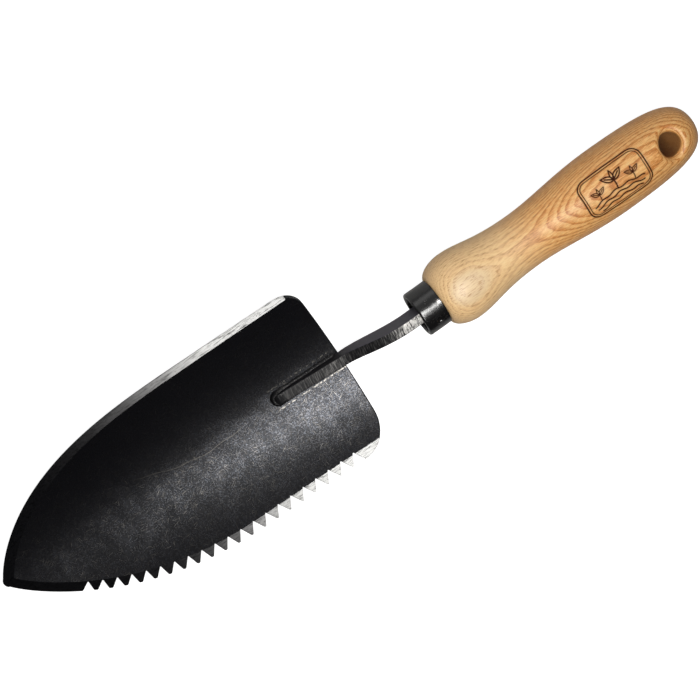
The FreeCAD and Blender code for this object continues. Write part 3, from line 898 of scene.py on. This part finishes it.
class Material(Nodes):
    """A material's nodes, with short calls for its textures. Its place, x, y and z are in millimetres."""

    def __init__(self, name):
        self.material = bpy.data.materials.new(name)
        super().__init__(self.material)
        where = self.put("TexCoord", output="Object")
        self.place = self.put("VectorMath", {0: where, "Scale": 1 / MM}, operation="SCALE")
        self.x, self.y, self.z = self.split(self.place)

    def stretch(self, vector, scale, turn=(0, 0, 0)):
        turned = self.put("VectorRotate", {"Vector": vector, "Rotation": turn}, rotation_type="EULER_XYZ")
        return self.vector("MULTIPLY", turned, scale)

    def noise(self, scale, detail=2, roughness=0.5, place=None):
        inputs = {"Vector": place or self.place, "Scale": scale, "Detail": detail, "Roughness": roughness}
        return self.put("TexNoise", inputs, "Fac")

    def grain(self, scale, detail, roughness, turn=(0, 0, 0)):
        """Noise with its own scale along each axis."""
        return self.noise(1, detail, roughness, self.stretch(self.place, scale, turn))

    def cells(self, flat, scale):
        """Flat cells: the distance from each one's middle, and its own three random numbers."""
        cell = self.node("TexVoronoi", {"Vector": flat, "Scale": scale}, voronoi_dimensions="2D")
        return Value(self, cell.outputs["Distance"]), self.split(Value(self, cell.outputs["Color"]))

    def mix(self, share, a, b, **settings):
        a, b = (colour if isinstance(colour, Value) else (*colour, 1) for colour in (a, b))
        return self.put("Mix", {0: share, 6: a, 7: b}, 2, data_type="RGBA", **settings)

    def ramp(self, value, stops):
        node = self.node("ValToRGB", {0: value})
        elements = node.color_ramp.elements
        while len(elements) < len(stops):
            elements.new(0.5)
        for element, (position, colour) in zip(elements, stops):
            element.position = position
            element.color = (*colour, 1)
        return Value(self, node.outputs[0])

    def bump(self, height, distance):
        return self.put("Bump", {"Height": height, "Distance": distance * MM, "Strength": 1.0})

    def finish(self, **inputs):
        """The surface itself. Input names have underscores for spaces."""
        surface = self.put("BsdfPrincipled", {k.replace("_", " "): v for k, v in inputs.items()})
        self.node("OutputMaterial", {"Surface": surface})
        return self.material


# Each direction of scratches on the blade: its turn in degrees, its shift and its scratches' length.
FLECKS = ((14, 0, 6.8), (49, 31, 5.2), (83, 67, 6), (118, 94, 4.8), (147, 128, 7.2), (171, 160, 5.6))
FLECK_WIDTH = 0.32
FLECK_AMOUNT = 0.05            # share of the cells that show one
SCRATCH_START = (BACK_X + 100.0, -6.9)
SCRATCH_END = (BACK_X + 47.0, 1.5)
SCRATCH_BOW = 4.6
TOE_Y = 4.8                    # middle of the bright line along each side's weld
NICK = (SHOULDER_X + 1, -3.2, 9.5)
RING_PITCH = 0.86
RING_LEAN = math.radians(-9)


def flecks(n, flat, turn, shift, length):
    """Short straight scratches in one direction: long thin cells, a few of which show."""
    moved = n.vector("ADD", flat, (shift, shift * 0.7, 0))
    cells = n.stretch(moved, (1 / length, 1 / FLECK_WIDTH, 1), (0, 0, math.radians(turn)))
    distance, chance = n.cells(cells, 1)
    shown = chance[0].band(1 - FLECK_AMOUNT, 1 - FLECK_AMOUNT * 0.9)
    return distance.band(0.28, 0.12) * shown * chance[1].math("POWER", 1.6).range(0.18, 1)


def long_scratch(n):
    """One thin line along the sheet, bowed and a little wavy."""
    share = (n.x - SCRATCH_START[0]) / (SCRATCH_END[0] - SCRATCH_START[0])
    straight = share * (SCRATCH_END[1] - SCRATCH_START[1]) + SCRATCH_START[1]
    bow = (share * math.pi).math("SINE") * SCRATCH_BOW
    ripple = (share * 23).math("SINE") * 0.3
    line = abs(n.y - (straight + (bow + ripple))).band(0.24, 0.08)
    ends = share.band(0, 0.12) * share.band(1, 0.9)
    return line * ends * 0.36


def toe_line(n):
    """The broken bright line beside the weld, more of it on the toothed side."""
    broken = n.noise(0.9, 3, 0.7) + n.y.band(-1, 1) * 0.03
    line = abs(abs(n.y) - TOE_Y).band(0.45, 0.15) * broken.band(0.5, 0.58)
    return line * n.x.band(NOSE_X + 1, NOSE_X - 1)


def blackened_sheet():
    """The blade's black oxide: soft sheen, fine sparkle, many small scratches and one long one."""
    n = Material("blackened_sheet")
    flat = n.join(n.x, n.y, 0)
    layers = [flecks(n, flat, *direction) for direction in FLECKS]
    marks = layers[0]
    for layer in layers[1:]:
        marks = marks.most(layer)
    patches = n.noise(0.05, 3, 0.6, flat).band(0.36, 0.62)
    marks = (marks * patches.range(0.35, 1)).most(long_scratch(n).most(toe_line(n)))
    chance = n.cells(flat, 2.8)[1]
    cloud = n.noise(0.12, 4, 0.6, flat)
    dark = n.mix(cloud, (0.0034, 0.0033, 0.0042), (0.005, 0.0048, 0.006))
    colour = n.mix(marks, dark, (0.19, 0.18, 0.165))
    glint = n.mix(chance[1], (0.97, 0.93, 0.93), (0.76, 0.84, 1))
    wane = n.x.band(BACK_X + 40, BACK_X + 120).range(1, 0.6)
    shine = chance[0].math("POWER", 2.2).range(0.17, 0.8) * wane
    waves = n.bump(n.noise(0.045, place=flat), 0.6)
    return n.finish(Base_Color=colour, Metallic=marks.band(0, 0.2), Roughness=cloud.range(0.24, 0.28),
                    Normal=waves, Specular_IOR_Level=shine, Specular_Tint=glint, Coat_Weight=wane * 0.2,
                    Coat_Roughness=0.44, Coat_Tint=(0.97, 0.97, 1, 1))


def ground_steel():
    """The bevels: ground steel with marks along the edge, its colour carrying a painted reflection that is
    bright at the back and near black towards the point.
    """
    n = Material("ground_steel")
    streaks = n.grain((0.07, 2.1, 2.1), 4, 0.65) * 0.6 + n.grain((0.3, 5.5, 5.5), 3, 0.6) * 0.4
    painted_reflection_fade = n.x + n.noise(0.09, 3, 0.6).range(-9, 9)
    # Painted reflection: the colour ramps from bright steel at the back to near black at the point, as the
    # softbox's reflection would fall off.
    bright = n.ramp((painted_reflection_fade - BACK_X) / BLADE_LENGTH,
                    [(0, (0.84, 0.84, 0.83)), (0.26, (0.7, 0.7, 0.69)), (0.4, (0.22, 0.218, 0.22)),
                     (0.5, (0.065, 0.064, 0.066)), (0.62, (0.017, 0.0165, 0.018)),
                     (0.8, (0.006, 0.006, 0.007))])
    tone = streaks.band(0.38, 0.52).range(0.16, 1.12)
    colour = n.mix(1, bright, n.join(tone, tone, tone), blend_type="MULTIPLY")
    pits = n.noise(1.1, 3, 0.7).band(0.66, 0.72)
    colour = n.mix(pits * 0.8, colour, (0.03, 0.028, 0.025))
    shine = n.x.band(BACK_X + 120, BACK_X + 60).range(0.05, 0.5)
    return n.finish(Base_Color=colour, Metallic=0.12, Roughness=streaks.range(0.36, 0.5),
                    Normal=n.bump(streaks, 0.04), Specular_IOR_Level=shine)


def cut_plate():
    """The stem: grey-violet scale on its wide faces, with painted shade along the foot; marks across the
    narrow ones, worn by the ferrule and brightened there by a painted highlight.
    """
    n = Material("cut_plate")
    facing = n.split(n.put("NewGeometry", output="Normal"))
    narrow = abs(facing[1]).band(0.75, 0.45)
    cross = n.grain((2.6, 0.22, 0.16), 3, 0.65, (0, 0.12, 0.14))
    # Near the ferrule the narrow faces' marks are worn bright, and brightened further as a painted highlight.
    worn = n.x.band(MOUTH_X + 15, MOUTH_X + 4)
    lines = cross.band(0.46, 0.66).math("ADD", cross.band(0.4, 0.54) * worn, use_clamp=True)
    wear_and_painted_highlight = worn * n.noise(0.55, 4, 0.7).band(0.34, 0.66) * 1.4
    bend = n.x.band(MOUTH_X + 10, MOUTH_X + 20) * n.x.band(BACK_X + 4, BACK_X - 4)
    faint = (1 - bend * 0.8) * 0.13 * n.x.band(BACK_X + 14, BACK_X + 2).range(1, 2.6)
    cap = n.x.band(NOSE_X - 6.5, NOSE_X - 4) * narrow
    catch = lines * narrow * (faint + wear_and_painted_highlight) * (1 - cap)
    scale = n.noise(0.35, 4, 0.6)
    side = n.mix(scale, (0.062, 0.057, 0.072), (0.082, 0.076, 0.094))
    # Painted shade: the wide faces go near black along the foot, beside the blade.
    side = n.mix(n.x.band(BACK_X - 9, BACK_X + 3), side, (0.012, 0.011, 0.013))
    edge = n.mix(scale, (0.007, 0.007, 0.008), (0.013, 0.0125, 0.0135))
    colour = n.mix(catch, n.mix(narrow, side, edge), (0.66, 0.645, 0.62))
    height = cross * narrow * 0.8 + n.noise(2.6, 3, 0.6) * 0.2
    return n.finish(Base_Color=colour, Metallic=catch * 0.55, Roughness=scale.range(0.42, 0.56) - cap * 0.26,
                    Normal=n.bump(height, 0.12), Specular_IOR_Level=0.4 - narrow * bend * 0.3)


def weld_metal():
    """The bead: near black, its ripples' crests a little worn except round the nose."""
    n = Material("weld_metal")
    spots = n.noise(1.3, 4, 0.7)
    crests = n.put("NewGeometry", output="Pointiness").band(0.52, 0.58)
    bright = (spots.band(0.5, 0.7) * 0.35).most(crests * 0.4) * n.x.band(NOSE_X - 1.5, NOSE_X - 4)
    colour = n.mix(bright, (0.006, 0.006, 0.007), (0.22, 0.21, 0.2))
    return n.finish(Base_Color=colour, Metallic=bright * 0.8, Roughness=spots.range(0.2, 0.4),
                    Normal=n.bump(spots, 0.15), Specular_IOR_Level=0.3)


def satin_black(name, nick=None):
    """The black finish of ferrule and brad: turning marks, and one bare nick if its place is given."""
    n = Material(name)
    cloud = n.noise(0.5, 4, 0.65)
    worn = n.noise(1.6, 4, 0.7).band(0.6, 0.72) * 0.22
    if nick is not None:
        ragged = n.vector("DISTANCE", n.place, nick, "Value") + n.noise(2.8, 3, 0.8).range(-1.3, 1.3)
        worn = worn.most(ragged.band(1.1, 0.5) * 0.8)
    colour = n.mix(cloud, (0.003, 0.003, 0.0035), (0.008, 0.0075, 0.0075))
    colour = n.mix(worn, colour, (0.45, 0.43, 0.42))
    height = n.grain((4.5, 0.25, 0.25), 3, 0.6) * 0.5 + cloud * 0.5
    return n.finish(Base_Color=colour, Metallic=worn * 0.8, Roughness=cloud.range(0.17, 0.24),
                    Normal=n.bump(height, 0.05), Specular_IOR_Level=1)


def growth_rings(n):
    """The height across the growth rings, and how porous the wood is there. The rings are sheets that face
    the front of the grip, curved round a far-off pith."""
    height = n.y * math.sin(RING_LEAN) + n.z * math.cos(RING_LEAN)
    sideways = n.y * math.cos(RING_LEAN) - n.z * math.sin(RING_LEAN)
    rings = height + sideways * sideways * 0.008 + n.x * -0.045
    rings = rings + n.grain((0.02, 0.06, 0.06), 2, 0.5).range(-1.7, 1.7)
    rings = rings + n.grain((0.07, 0.3, 0.3), 3, 0.55).range(-0.36, 0.36)
    greys = ((0, 0.1), (0.1, 1), (0.32, 0.62), (0.6, 0.1), (0.94, 0), (1, 0.1))
    phase = (rings * (1 / RING_PITCH)).math("FRACT")
    return height, n.ramp(phase, [(place, (grey, grey, grey)) for place, grey in greys])


def ash_wood():
    """Varnished ash: growth rings cut by the turned shape, open pores and the burned mark, with a painted
    highlight on the bulb's top and painted shade in the hanging hole.
    """
    n = Material("ash_wood")
    height, porous = growth_rings(n)
    fibre = n.grain((0.1, 1.7, 1.7), 4, 0.65)
    fine = n.grain((0.45, 4, 4), 3, 0.6)
    pore = n.grain((0.32, 2.6, 2.6), 2, 0.5).band(0.53, 0.61) * (porous * 0.75 + 0.32)
    tone = porous * 0.56 + fibre.band(0.3, 0.7) * 0.3 + fine.band(0.4, 0.6) * 0.38
    colour = n.ramp(tone, [(0.16, (0.98, 0.69, 0.325)), (0.48, (0.92, 0.525, 0.2)),
                           (0.76, (0.73, 0.315, 0.086)), (1, (0.57, 0.2, 0.045))])
    zone = n.grain((0.012, 0.05, 0.05), 2, 0.5).band(0.35, 0.65)
    bulb = n.x.band(BUTT_X + WAIST[0] - 14, BUTT_X + WAIST[0] + 16)
    # Painted highlight: the top of the bulb is mixed towards a pale cream.
    painted_crown_highlight = height.band(BULB[1] - 2.4, BULB[1] - 0.6) * bulb
    # Painted shade: the hanging hole's wall is mixed towards a deep brown.
    off_axis = n.vector("LENGTH", n.vector("CROSS_PRODUCT", n.place, tuple(HOLE_AXIS)), output="Value")
    painted_hole_shade = off_axis.band(HOLE_RADIUS + 0.35, HOLE_RADIUS)
    scorch, burn = (n.put("Attribute", output="Fac", attribute_name=name) for name in ("scorch", "burn"))
    char = n.mix(n.noise(2, 3, 0.7), (0.026, 0.008, 0.005), (0.07, 0.022, 0.012))
    for share, tint in ((zone * 0.16, (0.6, 0.28, 0.09)), (bulb * 0.56, (1, 0.85, 0.55)),
                        (painted_crown_highlight * 0.6, (0.84, 0.73, 0.54)), (pore * 0.6, (0.46, 0.185, 0.055)),
                        (painted_hole_shade * 0.6, (0.2, 0.085, 0.03)), (scorch * 0.35, (0.33, 0.12, 0.035)), (burn, char)):
        colour = n.mix(share, colour, tint)
    relief = pore * -0.7 + fibre * 0.3
    coat = (1 - burn) * 0.75
    return n.finish(Base_Color=colour, Roughness=fibre.range(0.36, 0.52) + burn * 0.25,
                    Normal=n.bump(relief, 0.05), Coat_Weight=coat, Coat_Roughness=0.42,
                    Coat_Tint=(1, 0.9, 0.78, 1), Specular_IOR_Level=coat * 0.4)


def cured_glue():
    """The glue beside the tang: cloudy amber."""
    n = Material("cured_glue")
    cloud = n.noise(0.8, 3, 0.6)
    colour = n.mix(cloud, (0.5, 0.37, 0.18), (0.62, 0.48, 0.26))
    return n.finish(Base_Color=colour, Roughness=cloud.range(0.5, 0.7), Normal=n.bump(cloud, 0.2))


def pale_floor():
    """A light table: white to look at, and dimmer as a lamp, so that the tool's edges stay dark."""
    n = Material("pale_floor")
    colour = n.mix(n.noise(0.004), (0.42, 0.42, 0.42), (0.45, 0.45, 0.45))
    glow = n.put("LightPath", output="Is Camera Ray").range(0, 0.97)
    return n.finish(Base_Color=colour, Roughness=0.9, Specular_IOR_Level=0.1, Emission_Color=(1, 1, 1, 1),
                    Emission_Strength=glow)


# --- stage ---
FLOOR_HALF_WIDTH = 6000.0
CLIMB = math.radians(35.38)    # of the handle's axis across the picture
CAMERA_DISTANCE = 900.0
LENS = 114.57                  # for a sensor 36 mm wide
LIGHT_HEIGHT = 450.0
KEY_TURN = math.radians(-35.4)  # squares both lamps with the picture
KEY_SPOT = (148.0, -38.0)
KEY_SIZE = (112.0, 272.0)
KEY_SIDE_SPOT = (240.0, 120.0)
KEY_SIDE_SIZE = (55.0, 80.0)


def lay_floor():
    """A plain floor on which the tool rests: it touches the palm swell and the blade's underside."""
    x = np.linspace(BACK_X, POINT_X, 200)
    touch_x, touch_z = BUTT_X + PALM_SWELL[0], -PALM_SWELL[1]
    for _ in range(6):
        fall = ((touch_z - bottom_line(x)) / (x - touch_x)).max()
        lowest = np.argmin(fall * PROFILE[:, 1] - PROFILE[:, 2])
        touch_x, touch_z = PROFILE[lowest, 1], -PROFILE[lowest, 2]
    half = FLOOR_HALF_WIDTH * MM
    mesh = bpy.data.meshes.new("floor")
    corners = [(sx * half, sy * half, 0.0) for sx, sy in ((-1, -1), (1, -1), (1, 1), (-1, 1))]
    mesh.from_pydata(corners, [], [(0, 1, 2, 3)])
    mesh.materials.append(pale_floor())
    floor = add_object("floor", mesh)
    floor.location = (touch_x * MM, 0.0, touch_z * MM)
    floor.rotation_euler = (0.0, math.atan(fall), 0.0)


def add_light(name, place, target, size, power, turn=0.0):
    """A rectangular lamp at a place, facing a target, with its long side turned about its own axis."""
    data = bpy.data.lights.new(name, "AREA")
    data.shape = "RECTANGLE"
    data.size, data.size_y = (side * MM for side in size)
    data.energy = power
    data.color = (1.0, 0.99, 0.97)
    light = add_object(name, data)
    light.location = Vector(place) * MM
    aim = (Vector(target) - Vector(place)).to_track_quat("-Z", "Y")
    light.rotation_euler = (aim @ Quaternion((0.0, 0.0, 1.0), turn)).to_euler()
    light.visible_camera = False


def light_stage():
    """A softbox over the blade's back and the bulb, a small one that extends it over the teeth, a weak fill
    beyond the plain edge, and dim surroundings that are darker beyond the teeth."""
    for name, spot, size, power in (("key", KEY_SPOT, KEY_SIZE, 1.66),
                                    ("key_side", KEY_SIDE_SPOT, KEY_SIDE_SIZE, 0.17)):
        add_light(name, (*spot, LIGHT_HEIGHT), (*spot, 0.0), size, power, KEY_TURN)
    add_light("left_fill", (MIDDLE_X, -1600.0, 600.0), (MIDDLE_X, 0.0, 0.0), (1600.0, 600.0), 1.5)
    world = bpy.data.worlds.new("studio")
    n = Nodes(world)
    toward = n.split(n.put("TexCoord", output="Generated"))
    level = n.put("MapRange", {"Value": toward[1], "From Min": -0.05, "From Max": -0.8,
                                         "To Min": 0.02, "To Max": 0.30})
    strength = level.most(n.put("LightPath", output="Is Camera Ray"))
    sky = n.put("Background", {"Color": (1.0, 1.0, 1.0, 1.0), "Strength": strength})
    n.node("OutputWorld", {"Surface": sky})
    bpy.context.scene.world = world


def set_camera():
    """Looks down on the blade's hollow, leaning towards its plain edge and a little towards its point."""
    lean_to_point, lean_to_plain = math.radians(4.75), math.radians(21.0)
    middle = Vector((MIDDLE_X + 0.2, -4.57, 0.0))
    out = Vector((math.sin(lean_to_point), -math.cos(lean_to_point) * math.sin(lean_to_plain),
                  math.cos(lean_to_point) * math.cos(lean_to_plain)))
    to_butt = -(Vector(LENGTHWISE) - out * out.x).normalized()
    to_teeth = to_butt.cross(out)
    right = to_butt * math.cos(CLIMB) + to_teeth * math.sin(CLIMB)
    up = to_butt * math.sin(CLIMB) - to_teeth * math.cos(CLIMB)
    camera = bpy.data.cameras.new("camera")
    camera.lens = LENS
    holder = add_object("camera", camera)
    place = Matrix.Translation((middle + out * CAMERA_DISTANCE) * MM)
    holder.matrix_world = place @ Matrix((right, up, out)).transposed().to_4x4()
    bpy.context.scene.camera = holder


def dress(node, material):
    """Gives a CAD node that stays as it is its material."""
    mesh = frame["nodes"][node].data
    mesh.materials.clear()
    mesh.materials.append(material)


def main():
    beads = ("weld_bead_left", "weld_bead_right", "weld_bead_nose")
    # Each piece with its material slot and the CAD nodes that it stands for.
    for piece, slot, nodes in (
            (make_blade(blackened_sheet(), ground_steel()), "blade_steel", ["blade"]),
            (make_stem(cut_plate()), "stem_steel", ["stem"]),
            (make_weld(weld_metal()), "weld_metal", beads),
            (make_ferrule(satin_black("ferrule_black", NICK)), "ferrule_steel", ["ferrule"]),
            (make_handle(ash_wood()), "ash", ["handle"])):
        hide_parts(*nodes)
        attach(piece, "root")
    dress("ferrule_brad", satin_black("brad_black"))
    dress("tang_adhesive", cured_glue())
    lay_floor()
    light_stage()
    set_camera()
    bpy.context.scene.view_settings.view_transform = "Standard"


main()
